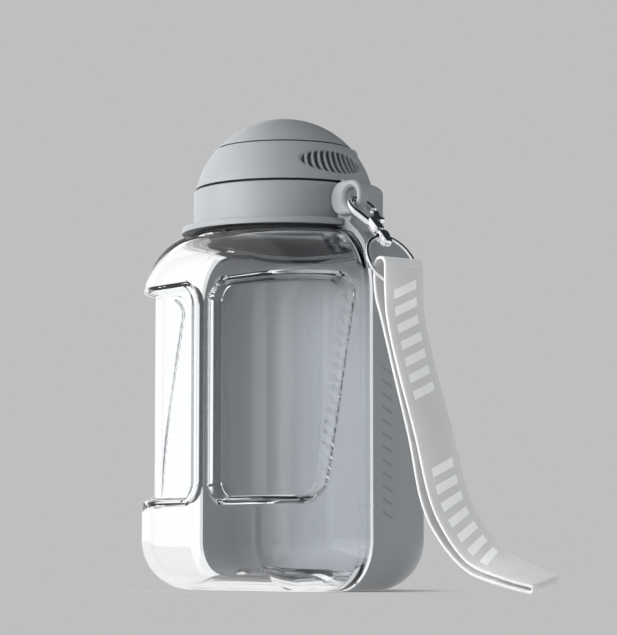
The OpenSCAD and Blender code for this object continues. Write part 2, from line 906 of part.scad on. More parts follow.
module swivel_eye() {
    color(steel)
        hook_frame()
            difference() {
                union() {
                    translate([barrel_end - stem_z, 0, 0])
                        rotate([0, 90, 0])
                            cylinder(r = stem_head_r, h = stem_head_h);
                    translate([barrel_end - stem_z, 0, 0])
                        rotate([0, 90, 0])
                            cylinder(r = stem_r, h = stem_z + eye_r - 1.2);
                    translate([hook_l, 0, 0])
                        sphere(eye_r);
                    translate([ball_s, 0, 0])
                        sphere(ball_r);
                }
                translate([hook_l, -far / 2, 0])
                    rotate([-90, 0, 0])
                        cylinder(r = eye_bore_r, h = far);
            }
}

module wire_ring() {
    color(steel)
        translate([ring_x, ear_mid_y, ring_z])
            rotate([0, ring_slope, 0])
                rotate_extrude()
                    translate([ring_r, 0])
                        circle(wire_r, $fn = 24);
}

// Smooth value between entries of a list, at a place counted in entries
function smooth(list, at) =
    let (i = min(floor(at), len(list) - 2))
    let (t = at - i)
    let (a = list[max(i - 1, 0)], b = list[i], c = list[i + 1], d = list[min(i + 2, len(list) - 1)])
    b + 0.5 * t * ((c - a) + t * ((2 * a - 5 * b + 4 * c - d) + t * (3 * b - 3 * c + d - a)));

function unit(v) = v / norm(v);

// Middle, across and outward directions of the strap at a place along it
function strap_mid(at) = smooth(strap_path, at) + [0, ear_mid_y, 0];
function strap_dir(at) = unit(strap_mid(min(at + 0.05, last_at)) - strap_mid(max(at - 0.05, 0)));
function strap_wide(at) =
    let (w = smooth(strap_across, at), d = strap_dir(at))
    unit(w - d * (w * d));
function strap_out(at) = cross(strap_wide(at), strap_dir(at));
last_at = len(strap_path) - 1;
strap_steps = 27;
fold_steps = 6;

// Middle line of the layer, once round the loop: down the outer side, round the lower fold,
// up the inner side and round the fold on the ring. Each entry is place, outward, across
strap_loop = concat(
    [for (i = [0:strap_steps])
        let (at = last_at * i / strap_steps)
        let (out = -strap_out(at))
        [strap_mid(at) + out * smooth(strap_half_gap, at), out, strap_wide(at)]],
    [for (i = [1:fold_steps - 1])
        let (a = 180 * i / fold_steps)
        let (out = -strap_out(last_at) * cos(a) + strap_dir(last_at) * sin(a))
        [strap_mid(last_at) + out * smooth(strap_half_gap, last_at), out, strap_wide(last_at)]],
    [for (i = [0:strap_steps])
        let (at = last_at * (1 - i / strap_steps))
        let (out = strap_out(at))
        [strap_mid(at) + out * smooth(strap_half_gap, at), out, strap_wide(at)]],
    [for (i = [1:fold_steps - 1])
        let (a = 180 * i / fold_steps)
        let (out = strap_out(0) * cos(a) - strap_dir(0) * sin(a))
        [strap_mid(0) + out * fold_r, out, strap_wide(0)]]);

module strap() {
    n = len(strap_loop);
    points = [for (s = strap_loop) each [
        s[0] + s[1] * strap_t / 2 - s[2] * strap_w / 2,
        s[0] + s[1] * strap_t / 2 + s[2] * strap_w / 2,
        s[0] - s[1] * strap_t / 2 + s[2] * strap_w / 2,
        s[0] - s[1] * strap_t / 2 - s[2] * strap_w / 2]];
    faces = [for (k = [0:n - 1], i = [0:3])
        let (m = (k + 1) % n, j = (i + 1) % 4)
        each [[4 * k + i, 4 * m + j, 4 * m + i], [4 * k + i, 4 * k + j, 4 * m + j]]];
    color([0.8, 0.81, 0.8])
        polyhedron(points, faces);
}

// Block of sewn thread that closes the loop, on the inner layer of the strap
stitch_l = 9;
stitch_inset = 4;
stitch_at = 2.6;
stitch_t = 0.5;

module strap_stitch() {
    at = stitch_at;
    out = strap_out(at);
    middle = strap_mid(at) + out * (smooth(strap_half_gap, at) + strap_t / 2);
    across = strap_wide(at);
    along = strap_dir(at);
    color("white")
        multmatrix([
            [along[0], across[0], out[0], middle[0]],
            [along[1], across[1], out[1], middle[1]],
            [along[2], across[2], out[2], middle[2]]])
            translate([-stitch_l / 2, stitch_inset - strap_w / 2, side_gap])
                cube([stitch_l, strap_w - 2 * stitch_inset, stitch_t]);
}

tank();
bowl();
collar();
neck_seal();
cap_plug();
cap_band();
vent_valve();
spout();
flip_lid();
stopper_seat();
stopper();
hinge_pin();
hook_body();
hook_gate();
gate_pin();
gate_spring();
swivel_eye();
wire_ring();
strap();
strap_stitch();
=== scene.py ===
import math

import bmesh
import bpy
import numpy as np
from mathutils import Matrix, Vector


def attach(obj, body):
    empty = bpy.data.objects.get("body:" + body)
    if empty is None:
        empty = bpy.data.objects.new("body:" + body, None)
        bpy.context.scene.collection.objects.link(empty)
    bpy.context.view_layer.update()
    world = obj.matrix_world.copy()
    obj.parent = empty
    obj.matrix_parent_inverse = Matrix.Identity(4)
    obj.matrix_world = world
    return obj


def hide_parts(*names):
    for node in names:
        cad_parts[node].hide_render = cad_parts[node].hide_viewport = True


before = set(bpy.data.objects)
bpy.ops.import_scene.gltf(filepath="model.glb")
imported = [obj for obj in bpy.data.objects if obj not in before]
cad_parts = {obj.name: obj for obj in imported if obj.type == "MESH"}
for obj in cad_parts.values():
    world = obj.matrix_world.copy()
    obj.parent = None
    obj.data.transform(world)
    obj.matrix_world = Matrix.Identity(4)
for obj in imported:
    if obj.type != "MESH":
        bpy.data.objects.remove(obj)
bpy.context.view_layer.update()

# Camera: it stands at the height of the base, a little over a metre off towards the ear's side of
# the clear front, and looks slightly up, so that the whole bottle and its strap fill the frame.
azimuth = math.radians(52)
camera_distance = 1.11
camera_height = 0.016
focal_pixels = 2500
picture_height = 635
axis_offset = 24.5
horizon_offset = 236.5

towards = Vector((-math.sin(azimuth), math.cos(azimuth), 0))
sideways = Vector((math.cos(azimuth), math.sin(azimuth), 0))
aim = towards + sideways * axis_offset / focal_pixels + Vector((0, 0, horizon_offset / focal_pixels))


def new_object(name, data):
    """Object of some data, put into the scene."""
    made = bpy.data.objects.new(name, data)
    bpy.context.collection.objects.link(made)
    return made


camera = new_object("camera", bpy.data.cameras.new("camera"))
camera.location = Vector((0, 0, camera_height)) - towards * camera_distance
camera.rotation_euler = aim.to_track_quat("-Z", "Y").to_euler()
camera.data.sensor_width = 36
camera.data.lens = camera.data.sensor_width * focal_pixels / picture_height
bpy.context.scene.camera = camera

# Studio: a pale floor and an even pale backdrop, a soft key lamp at the left, one between it and the
# camera, a wide one at the right and a faint one behind. Clear plastic looks through at a white room;
# what shines also sees dark sides of the room, behind the bottle and at its right, which draw its edges.
backdrop_grey = 0.521


def adder(tree):
    """Function that adds one node to a tree: settings by name, inputs by name or as i0, i1 and so on."""

    def add(kind, settings=None, **inputs):
        node = tree.nodes.new(kind)
        for key, value in (settings or {}).items():
            setattr(node, key, value)
        for key, value in inputs.items():
            socket = node.inputs[int(key[1:])] if key[1:].isdigit() else node.inputs[key.replace("_", " ")]
            if isinstance(value, bpy.types.NodeSocket):
                tree.links.new(value, socket)
            else:
                socket.default_value = value
        return node

    return add


def empty_tree(owner):
    """Clears the node tree of a material or a world, and gives the function that adds nodes to it."""
    owner.use_nodes = True
    owner.node_tree.nodes.clear()
    return adder(owner.node_tree)


def compute(add, operation, *values):
    """Result of one sum on sockets or numbers."""
    inputs = {f"i{place}": value for place, value in enumerate(values)}
    return add("ShaderNodeMath", {"operation": operation}, **inputs).outputs[0]


def ramp(add, value, start, end, low, high, kind="LINEAR"):
    """Value that passes from low to high while the given one passes from start to end."""
    return add("ShaderNodeMapRange", {"interpolation_type": kind}, Value=value,
               From_Min=start, From_Max=end, To_Min=low, To_Max=high).outputs[0]


def blend(add, share, first, second):
    """Colour that passes from the first to the second as a share goes from 0 to 1."""
    return add("ShaderNodeMix", {"data_type": "RGBA"}, Factor=share, i6=first, i7=second).outputs[2]


world = bpy.data.worlds.new("studio")
bpy.context.scene.world = world
add = empty_tree(world)
rays = add("ShaderNodeLightPath")
direction = add("ShaderNodeTexCoord").outputs["Generated"]


def room_side(facing, start, end, depth):
    """How dark the room is towards one side: up to depth, as the cosine of the angle to that side
    rises from start to end."""
    along = add("ShaderNodeVectorMath", {"operation": "DOT_PRODUCT"}, i0=direction, i1=tuple(facing))
    return ramp(add, along.outputs["Value"], start, end, 0.0, depth, "SMOOTHSTEP")


def room_light(strength, *sides):
    """Light of a white room whose given sides are dark."""
    dark = sides[0]
    for side in sides[1:]:
        dark = compute(add, "MAXIMUM", dark, side)
    room = blend(add, dark, (1, 1, 1, 1), (0.02, 0.024, 0.03, 1))
    return add("ShaderNodeBackground", Color=room, Strength=strength).outputs[0]


def light_for(kind, shown, otherwise):
    """One light for rays of a kind and another for the rest."""
    return add("ShaderNodeMixShader", i0=rays.outputs[kind], i1=otherwise, i2=shown).outputs[0]


upper_right = (sideways * 0.8 + Vector((0, 0, 0.6))).normalized()
behind_right = (towards + sideways * 1.3).normalized()
seen_through = room_light(1.06,
                          room_side(sideways, 0.75, 0.98, 0.4),
                          room_side(-sideways, 0.8, 0.98, 0.3))
mirrored = room_light(1.1,
                      room_side(behind_right, 0.7, 0.9, 1.0),
                      room_side(upper_right, 0.12, 0.35, 1.0),
                      room_side(-towards, 0.7, 0.92, 0.35))
ambient = add("ShaderNodeBackground", Color=(0.93, 0.965, 1, 1), Strength=0.45)
backdrop = add("ShaderNodeBackground", Color=(backdrop_grey,) * 3 + (1,), Strength=1.0)
light = light_for("Is Glossy Ray", mirrored, ambient.outputs[0])
light = light_for("Is Transmission Ray", seen_through, light)
light = light_for("Is Camera Ray", backdrop.outputs[0], light)
add("ShaderNodeOutputWorld", Surface=light)

bpy.context.scene.view_settings.view_transform = "Standard"

lamp_aim = Vector((0, 0, 0.1))


def soft_lamp(name, place, size, watts, colour=(1, 1, 1)):
    """Square area lamp that faces the middle of the bottle and isn't mirrored in it or seen through it."""
    lamp = bpy.data.lights.new(name, "AREA")
    lamp.shape, lamp.size, lamp.energy, lamp.color = "SQUARE", size, watts, colour
    holder = new_object(name, lamp)
    holder.location = place
    holder.rotation_euler = (lamp_aim - Vector(place)).to_track_quat("-Z", "Y").to_euler()
    holder.visible_glossy = False
    holder.visible_transmission = False


def around(turn, distance, height):
    """Place at an angle to the left of the camera's line, seen from above."""
    a = azimuth - math.radians(turn)
    return (math.sin(a) * distance, -math.cos(a) * distance, height)


soft_lamp("key_lamp", around(78, 1.1, 0.5), 0.8, 20, (1, 0.99, 0.97))
soft_lamp("front_lamp", around(46, 1.6, 0.25), 0.8, 18)
soft_lamp("fill_lamp", around(-84, 1.5, 0.12), 1.0, 16, (0.97, 0.985, 1))
soft_lamp("back_lamp", around(170, 1.5, 1.2), 0.8, 2)

# The floor takes light and shadow near the bottle and passes into the backdrop's even grey farther
# out. In gloss and through the clear plastic it is white, like the room.
floor_half, floor_drop = 2.5, 0.0002
floor_mesh = bpy.data.meshes.new("floor")
floor_corners = [(x * floor_half, y * floor_half, 0) for x, y in ((-1, -1), (1, -1), (1, 1), (-1, 1))]
floor_mesh.from_pydata(floor_corners, [], [(0, 1, 2, 3)])
floor = new_object("floor", floor_mesh)
floor.location.z = -floor_drop
floor_paint = bpy.data.materials.new("floor_paint")
add = empty_tree(floor_paint)
rays = add("ShaderNodeLightPath")
spot = add("ShaderNodeTexCoord").outputs["Object"]
reach = add("ShaderNodeVectorMath", {"operation": "LENGTH"}, i0=spot)
far = ramp(add, reach.outputs["Value"], 0.05, 0.085, 0.15, 1.0, "SMOOTHSTEP")
seen_in = compute(add, "MAXIMUM", rays.outputs["Is Glossy Ray"], rays.outputs["Is Transmission Ray"])
matt = add("ShaderNodeBsdfDiffuse", Color=(0.52, 0.52, 0.52, 1))
even = add("ShaderNodeEmission", Color=(backdrop_grey,) * 3 + (1,), Strength=1.0)
white = add("ShaderNodeEmission", Color=(1, 1, 1, 1), Strength=0.9)
ground = add("ShaderNodeMixShader", i0=far, i1=matt.outputs[0], i2=even.outputs[0])
shown = add("ShaderNodeMixShader", i0=seen_in, i1=ground.outputs[0], i2=white.outputs[0])
add("ShaderNodeOutputMaterial", Surface=shown.outputs[0])
floor_mesh.materials.append(floor_paint)

# Tank: one blow-moulded shell of clear plastic, thin-walled, with two finger grips pressed into its
# front corners, a stepped-in back half that the bowl clasps, a shallow hollow under its base and a
# wide neck. Sizes in millimetres.
half_width, front_depth, back_depth, front_bow = 62.0, 44.0, 41.0, 2.5
corner_radius, base_radius = 24.0, 22.0
side_top, shoulder_height, shoulder_radius = 128.0, 156.0, 43.0
tank_wall, back_step, parting = 2.2, 2.8, -0.6
neck_radius, bore_radius, neck_top = 36.5, 34.0, 174.0
grip_depth, grip_low, grip_high, grip_corner, grip_edge = 5.5, 38.5, 133.5, 9.5, 2.1
rib_half, grip_back_top, grip_back_low = 6.0, -21.0, -35.0

# The base's hollow: share of the way from its middle to its edge, and lift off the floor there.
foot_shares = np.array([0, 0.70, 0.77, 0.83, 0.88, 0.92])
foot_lifts = np.array([3.5, 3.5, 3.0, 1.75, 0.5, 0])

# The inner wall slopes to the parting line over this length, so that no square step stands there.
inner_slope = 6.0

# Rows up the body, in degrees round the base edge, in heights and in degrees over the shoulder, and
# columns round it. They lie closest where the ledges of the grips and the rib between them are.
base_turns = np.concatenate([[0], np.linspace(6, 90, 16)])
side_heights = np.concatenate([np.linspace(22.5, 36, 9), np.linspace(37, 50, 22),
                               np.linspace(51, 118, 64), np.linspace(119.5, 127.5, 14)])
shoulder_turns = np.concatenate([np.linspace(0, 16, 12), np.linspace(19, 90, 22)])
front_places = np.concatenate([np.linspace(-1, -0.45, 14), np.linspace(-0.43, 0.43, 52),
                               np.linspace(0.45, 1, 14)])[::-1]
front_side_columns, front_corner_columns = 22, 42
tank_back_columns = (8, 14, 14)


def rings(inset):
    """Sizes of the body's outlines, one entry a ring, for a skin moved inwards by inset.

    Round the base edge every size shrinks by base_radius - (base_radius - inset) sin q. Up the sides
    they stay. Over the shoulder they pass from the plain outline to a circle by 1 - cos t.
    """
    q = np.radians(base_turns)
    shrink = base_radius - (base_radius - inset) * np.sin(q)
    low_z = base_radius - (base_radius - inset) * np.cos(q)
    t = np.radians(shoulder_turns)
    k = 1 - np.cos(t)
    high_z = side_top + (shoulder_height - side_top - inset) * np.sin(t)

    def joined(plain, top):
        side = np.full(len(side_heights), plain - inset)
        return np.concatenate([plain - shrink, side, (plain - inset) * (1 - k) + (top - inset) * k])

    return {
        "x": joined(half_width, shoulder_radius),
        "front": joined(front_depth, shoulder_radius),
        "back": joined(back_depth, shoulder_radius),
        "r": joined(corner_radius, shoulder_radius),
        "bow": front_bow * np.concatenate([np.sin(q), np.ones(len(side_heights)), 1 - k]),
        "z": np.concatenate([low_z, side_heights, high_z]),
    }


def front_skin(ring, split):
    """Points of the front half, ring by ring: along the right side from the splitting plane, round the
    corner, across the bowed front, round the other corner and back along the left side.

    The front bows out by bow (1 - (x / half width)^2), times the share of its depth that y has.
    """
    x, r = ring["x"][:, None], ring["r"][:, None]
    depth, bow = ring["front"][:, None], ring["bow"][:, None]
    cx, cy = x - r, depth - r
    side = np.linspace(0, 1, front_side_columns, endpoint=False)[None]
    side_y = split + (-cy - split) * side
    a = np.radians(np.linspace(0, 90, front_corner_columns, endpoint=False))[None]
    flat_x = cx * front_places[None]
    right = [np.broadcast_to(x, side_y.shape), cx + r * np.cos(a)]
    right_y = [side_y, -cy - r * np.sin(a)]
    xs = np.hstack(right + [flat_x] + [-p[:, ::-1] for p in right[::-1]])
    ys = np.hstack(right_y + [np.broadcast_to(-cy - r, flat_x.shape)] + [p[:, ::-1] for p in right_y[::-1]])
    ys = ys - bow * np.clip(-ys, 0, None) / depth * (1 - (xs / x) ** 2)
    return np.stack([xs, ys, np.broadcast_to(ring["z"][:, None], xs.shape)], axis=-1)


def back_skin(ring, split, side_columns, corner_columns, flat_columns):
    """Points of the back half, ring by ring, from the left end of the splitting plane to the right.

    The corners are quarter circles, or quarter ellipses where the half is less deep than r.
    """
    x, r = ring["x"][:, None], ring["r"][:, None]
    cx = x - r
    cy = np.maximum(ring["back"][:, None] - r, split)
    ry = ring["back"][:, None] - cy
    side = np.linspace(0, 1, side_columns, endpoint=False)[None]
    side_y = split + (cy - split) * side
    a = np.radians(np.linspace(0, 90, corner_columns, endpoint=False))[None]
    flat_x = cx * np.linspace(-1, 1, flat_columns)[None]
    left = [np.broadcast_to(-x, side_y.shape), -cx - r * np.cos(a)]
    left_y = [side_y, cy + ry * np.sin(a)]
    xs = np.hstack(left + [flat_x] + [-p[:, ::-1] for p in left[::-1]])
    ys = np.hstack(left_y + [np.broadcast_to(cy + ry, flat_x.shape)] + [p[:, ::-1] for p in left_y[::-1]])
    return np.stack([xs, ys, np.broadcast_to(ring["z"][:, None], xs.shape)], axis=-1)


def grip_share(points, grow):
    """How deep each point lies in a finger grip, from 0 on the outer skin to 1 on the grip's floor.

    Two rounded outlines bound a grip, one seen from the front and one from the side, and both are
    wider by grow. The share is the product of two rises 3 t^2 - 2 t^3, where t is the distance
    inside an outline over the ledge's width, from 0 to 1.
    """
    x, y, z = np.abs(points[..., 0]), points[..., 1], points[..., 2]
    middle, reach = (grip_low + grip_high) / 2, (grip_high - grip_low) / 2
    up = np.abs(z - middle) - (reach - grip_corner)
    along = rib_half + grip_corner - x
    slant = (grip_back_top - grip_back_low) / (grip_high - grip_low - 2 * grip_corner)
    edge = grip_back_low + (z - grip_low - grip_corner) * slant
    back = (y - edge) / math.hypot(1, slant)

    def inside(a, b):
        corner = np.hypot(np.clip(a, 0, None), np.clip(b, 0, None))
        return grip_corner + grow - corner - np.clip(np.maximum(a, b), None, 0)

    def share(d):
        t = np.clip(d / grip_edge, 0, 1)
        return t * t * (3 - 2 * t)

    return share(inside(along, up)) * share(inside(back, up))


def quads(rows, columns, closed=False):
    """Faces of a grid of points that run row by row, each face four points round."""
    count = columns if closed else columns - 1
    row, column = np.meshgrid(np.arange(rows - 1), np.arange(count), indexing="ij")
    after = (column + 1) % columns
    corners = [row * columns + column, row * columns + after,
               (row + 1) * columns + after, (row + 1) * columns + column]
    return np.stack(corners, axis=-1).reshape(-1, 4)


# Points closer together than this, in metres, are one.
same_point = 0.000002


class Surfaces:
    """Grids of points in millimetres, gathered into one mesh."""

    def __init__(self):
        self.points, self.faces, self.count = [], [], 0

    def grid(self, points, closed=False):
        """Adds a grid of rows of points, with closed joining its last column to its first."""
        rows, columns = points.shape[:2]
        self.faces += (quads(rows, columns, closed) + self.count).tolist()
        self.points.append(points.reshape(-1, 3))
        self.count += rows * columns
        return self

    def flat_face(self, points):
        """Adds one flat face through a closed line of points."""
        self.faces.append(list(range(self.count, self.count + len(points))))
        self.points.append(points)
        self.count += len(points)
        return self

    def piece(self, name, body, slot, material, sharp=35, bevel=0.0, nodes=()):
        """Makes the object: joins equal points, turns the faces outwards and rounds sharp edges.

        Blender can turn a closed shell of two skins inside out, which a volume below zero shows.
        """
        mesh = bpy.data.meshes.new(name)
        mesh.from_pydata((np.vstack(self.points) * 0.001).tolist(), [], self.faces)
        work = bmesh.new()
        work.from_mesh(mesh)
        bmesh.ops.remove_doubles(work, verts=work.verts, dist=same_point)
        bmesh.ops.recalc_face_normals(work, faces=work.faces)
        if work.calc_volume(signed=True) < 0:
            bmesh.ops.reverse_faces(work, faces=work.faces)
        work.to_mesh(mesh)
        work.free()
        mesh.shade_smooth()
        mesh.set_sharp_from_angle(angle=math.radians(sharp))
        mesh.materials.append(material)
        made = new_object(name, mesh)
        if bevel:
            rounding = made.modifiers.new("rounded_edges", "BEVEL")
            rounding.width, rounding.segments = bevel * 0.001, 3
            rounding.limit_method, rounding.angle_limit = "ANGLE", math.radians(sharp)
            rounding.harden_normals = True
        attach(made, body)
        if nodes:
            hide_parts(*nodes)
        return made


clear_plastic = bpy.data.materials.new("clear_plastic")
add = empty_tree(clear_plastic)
place = add("ShaderNodeTexCoord").outputs["Object"]
waves = add("ShaderNodeTexNoise", Vector=place, Scale=26.0, Detail=1.5, Roughness=0.4)
ripple = add("ShaderNodeBump", Height=waves.outputs["Fac"], Strength=0.05, Distance=0.002)
gloss = add("ShaderNodeBsdfPrincipled", Base_Color=(0.985, 0.992, 1.0, 1), Roughness=0.02, IOR=1.38,
            Transmission_Weight=1.0, Normal=ripple.outputs["Normal"])

# Shadow rays and diffuse rays pass straight through, so that light falls on what stands behind.
see_through = add("ShaderNodeBsdfTransparent", Color=(0.975, 0.98, 0.985, 1))
rays = add("ShaderNodeLightPath")
lit_through = compute(add, "MAXIMUM", rays.outputs["Is Shadow Ray"], rays.outputs["Is Diffuse Ray"])
clear = add("ShaderNodeMixShader", i0=lit_through, i1=gloss.outputs[0], i2=see_through.outputs[0])
add("ShaderNodeOutputMaterial", Surface=clear.outputs[0])


def half_shells(inset, front_end):
    """Front and back skins of the body, moved inwards by inset, with the grips pressed into the front.

    The front starts at depth front_end and the back at the parting line. A point of a grip passes
    from the front's skin to one that lies deeper, by its share of the grip's depth.
    """
    front = front_skin(rings(inset), front_end)
    deep = front_skin(rings(grip_depth + inset), front_end)
    share = grip_share(front, inset)[..., None]
    pressed = front * (1 - share) + deep * share
    back = back_skin(rings(back_step + inset), parting, *tank_back_columns)
    return np.concatenate([pressed[..., :2], front[..., 2:]], axis=-1), back


def capped(skin, base_z, neck):
    """A skin with the rows that close it: below to one point over a shallow hollow, above in to the
    neck's radius and up it."""
    centre = np.array([0, parting, base_z])
    base = centre + (skin[:1] - centre) * foot_shares[:, None, None]
    base[..., 2] += foot_lifts[:, None]
    a = np.arctan2(skin[-1, :, 1], skin[-1, :, 0])
    foot = np.stack([neck * np.cos(a), neck * np.sin(a), skin[-1, :, 2]], axis=-1)
    top = np.stack([neck * np.cos(a), neck * np.sin(a), np.full(len(a), neck_top)], axis=-1)
    return np.concatenate([base, skin, foot[None], top[None]])


def whole_skin(inset, front_end, neck):
    """Closed line of columns round the body, front half and back half, from the base to the neck's rim."""
    front, back = half_shells(inset, front_end)
    return np.concatenate([capped(front, inset, neck), capped(back, back_step + inset, neck)], axis=1)


outer = whole_skin(0, parting, neck_radius)
inner = whole_skin(tank_wall, parting - inner_slope, bore_radius)
tank = Surfaces().grid(outer, closed=True).grid(inner, closed=True)
tank.grid(np.stack([outer[-1], inner[-1]]), closed=True)
tank.piece("tank_shell", "tank", "clear_plastic", clear_plastic, sharp=50, nodes=["tank"])

# Grey moulded parts: satin polypropylene, coloured through, with the very fine grain of a sparked
# mould and a slightly cloudier gloss where hands rub it.
grey = (0.235, 0.248, 0.26)


def moulded(name, colour, roughness, grain=900.0, relief=0.000006):
    """Moulded plastic or rubber: one colour with a faint cloud in it, a fine grain and uneven gloss."""
    material = bpy.data.materials.new(name)
    add = empty_tree(material)
    place = add("ShaderNodeTexCoord").outputs["Object"]
    cloud = add("ShaderNodeTexNoise", Vector=place, Scale=34.0, Detail=3.0).outputs["Fac"]
    darker, lighter = (tuple(min(c * times, 1) for c in colour) + (1,) for times in (0.95, 1.05))
    gloss = ramp(add, cloud, 0.3, 0.7, roughness - 0.04, roughness + 0.05)
    fine = add("ShaderNodeTexNoise", Vector=place, Scale=grain, Detail=2.0)
    bump = add("ShaderNodeBump", Height=fine.outputs["Fac"], Strength=0.35, Distance=relief)
    shader = add("ShaderNodeBsdfPrincipled", Base_Color=blend(add, cloud, darker, lighter),
                 Roughness=gloss, IOR=1.48, Normal=bump.outputs["Normal"])
    add("ShaderNodeOutputMaterial", Surface=shader.outputs[0])
    return material


def between(add, value, low, high, soft):
    """Mask that is 1 where a value lies between two limits and 0 outside, with soft flanks."""
    middle, half = (low + high) / 2, (high - low) / 2
    off = compute(add, "ABSOLUTE", compute(add, "SUBTRACT", value, middle))
    return ramp(add, off, half - soft, half + soft, 1.0, 0.0, "SMOOTHSTEP")


def product(add, *values):
    """Product of several sockets."""
    total = values[0]
    for value in values[1:]:
        total = compute(add, "MULTIPLY", total, value)
    return total


def recolour(material, mask, share, relief):
    """Darkens a grey material where a mask is 1, to a share of the grey, and sinks it there by relief."""
    tree, add = material.node_tree, adder(material.node_tree)
    shader = next(node for node in tree.nodes if node.type == "BSDF_PRINCIPLED")
    plain = shader.inputs["Base Color"].links[0].from_socket
    marked = blend(add, mask, plain, tuple(c * share for c in grey) + (1,))
    tree.links.new(marked, shader.inputs["Base Color"])
    sunk = add("ShaderNodeBump", {"invert": True}, Height=mask, Strength=0.6, Distance=relief,
               Normal=shader.inputs["Normal"].links[0].from_socket)
    tree.links.new(sunk.outputs["Normal"], shader.inputs["Normal"])


def object_axes(add):
    """Outputs X, Y and Z of a point's place on the object, in metres."""
    return add("ShaderNodeSeparateXYZ", Vector=add("ShaderNodeTexCoord").outputs["Object"]).outputs


grey_plastic = moulded("grey_plastic", grey, 0.4)

# Bowl: the grey half shell that clasps the tank's back and serves as a drinking dish, with a yoke
# that hugs the collar and a flat ear for the hook. One moulding; its rim faces the front.
bowl_wall, bowl_gap, rim = 2.4, 0.4, -0.4
bowl_columns = (16, 30, 30)
yoke_inner, yoke_outer, yoke_low, yoke_top, yoke_round = 40.8, 44.2, 153.5, 178.1, 2.2
ear_x, ear_root, ear_z, ear_radius, ear_round = 53.0, 47.2, 169.0, 7.4, 1.5
ear_front, ear_back, hole_radius, hole_chamfer, bend_out, bend_up = -6.0, -1.0, 4.0, 1.4, 0.5, 0.75
ear_columns, yoke_columns = 64, 90
lip_front, lip_thickness, lip_start, lip_end, lip_root, lip_swell = -2.4, 2.8, 20, 68, 78, 25

# Its side bears a column of short slanted bars, sunk a tenth of a millimetre. Sizes in metres: the
# column's height and width, and the start and end of a bar in each pitch.
bar_low, bar_high, bar_near, bar_off = 0.030, 0.097, 0.0046, 0.0104
bar_pitch, bar_start, bar_end, bar_slant, bar_depth = 0.0056, 0.002, 0.0034, 0.5, 0.0001
side_near, side_off = 0.055, 0.07
bowl_plastic = moulded("bowl_plastic", grey, 0.4)
add = adder(bowl_plastic.node_tree)
axes = object_axes(add)
repeat = compute(add, "MODULO", compute(add, "MULTIPLY_ADD", axes["Y"], bar_slant, axes["Z"]), bar_pitch)
bars = product(add,
               between(add, axes["X"], side_near, side_off, 0.0005),
               between(add, axes["Y"], bar_near, bar_off, 0.00012),
               between(add, axes["Z"], bar_low, bar_high, 0.0001),
               between(add, repeat, bar_start, bar_end, 0.0001))
recolour(bowl_plastic, bars, 0.8, bar_depth)


def bowl_skin(inset, top):
    """Skin of the bowl: the body's back half, closed to a point below and drawn in to the neck above."""
    skin = back_skin(rings(inset), rim, *bowl_columns)
    skin[..., 2] = np.minimum(skin[..., 2], top)
    base = np.zeros_like(skin[:1]) + [0, rim, inset]
    a = np.arctan2(skin[-1, :, 1], skin[-1, :, 0])
    neck = neck_radius + bowl_gap
    mouth = np.stack([neck * np.cos(a), neck * np.sin(a), skin[-1, :, 2]], axis=-1)
    return np.concatenate([base, skin, mouth[None]])


def arc_sweep(profile, start, end, steps):
    """Grid of a closed profile of radius and height, carried round the upright axis from one angle
    to another, in degrees. Rows go round, columns follow the profile."""
    a = np.radians(np.linspace(start, end, steps))[:, None]
    r, z = profile[:, 0][None], profile[:, 1][None]
    return np.stack([r * np.cos(a), r * np.sin(a), np.broadcast_to(z, (steps, len(profile)))], axis=-1)


def add_arc(surfaces, profile, start, end, steps):
    """Adds a closed profile carried round part of a circle, with a flat face at both ends."""
    swept = arc_sweep(profile, start, end, steps)
    return surfaces.grid(swept, closed=True).flat_face(swept[0]).flat_face(swept[-1])


def add_prism(surfaces, outline, axis, low, high):
    """Adds a straight prism: a closed outline in the two other axes, carried from low to high."""
    outline = np.array(outline, float)
    ends = [np.insert(outline, axis, np.full(len(outline), at), axis=1) for at in (low, high)]
    return surfaces.grid(np.stack(ends), closed=True).flat_face(ends[0]).flat_face(ends[1])


def round_corner(x, y, r, start, end, steps=5):
    """Points of a rounded corner, as a list of pairs."""
    a = np.radians(np.linspace(start, end, steps))
    return list(zip(x + r * np.cos(a), y + r * np.sin(a)))


def ring_profile(inner, outer, low, top, radius, steps=5):
    """Section of a ring, as radius and height, with its upper outer edge rounded."""
    corner = round_corner(outer - radius, top - radius, radius, 0, 90, steps)
    return np.array([(inner, low), (outer, low)] + corner + [(inner, top)])


bowl = Surfaces()
bowl_outer = bowl_skin(0, shoulder_height - bowl_gap)
bowl_inner = bowl_skin(bowl_wall, shoulder_height - bowl_wall)
bowl.grid(bowl_outer).grid(bowl_inner)
bowl.grid(np.stack([bowl_outer[-1], bowl_inner[-1]]))
for column in (0, -1):
    bowl.grid(np.stack([bowl_outer[:, column], bowl_inner[:, column]]))

yoke_end = math.degrees(math.asin(rim / yoke_outer))
yoke_profile = ring_profile(yoke_inner, yoke_outer, yoke_low, yoke_top, yoke_round, 8)
add_arc(bowl, yoke_profile, yoke_end, 180 - yoke_end, yoke_columns)


def ear_loop(radius, y, oval):
    """Closed line round the ear: a circle round its hole, or the oval that reaches to the yoke."""
    a = np.radians(np.linspace(0, 360, ear_columns, endpoint=False))
    x = np.where(np.cos(a) < -1e-9, ear_root, ear_x) if oval else ear_x
    return np.stack([x + radius * np.cos(a), np.full(ear_columns, y), ear_z + radius * np.sin(a)], axis=-1)


def mirrored_stations(stations):
    """Stations of the ear's front face carried over to its back face, in the other order."""
    return [(r, ear_front + ear_back - y, oval) for r, y, oval in stations[::-1]]


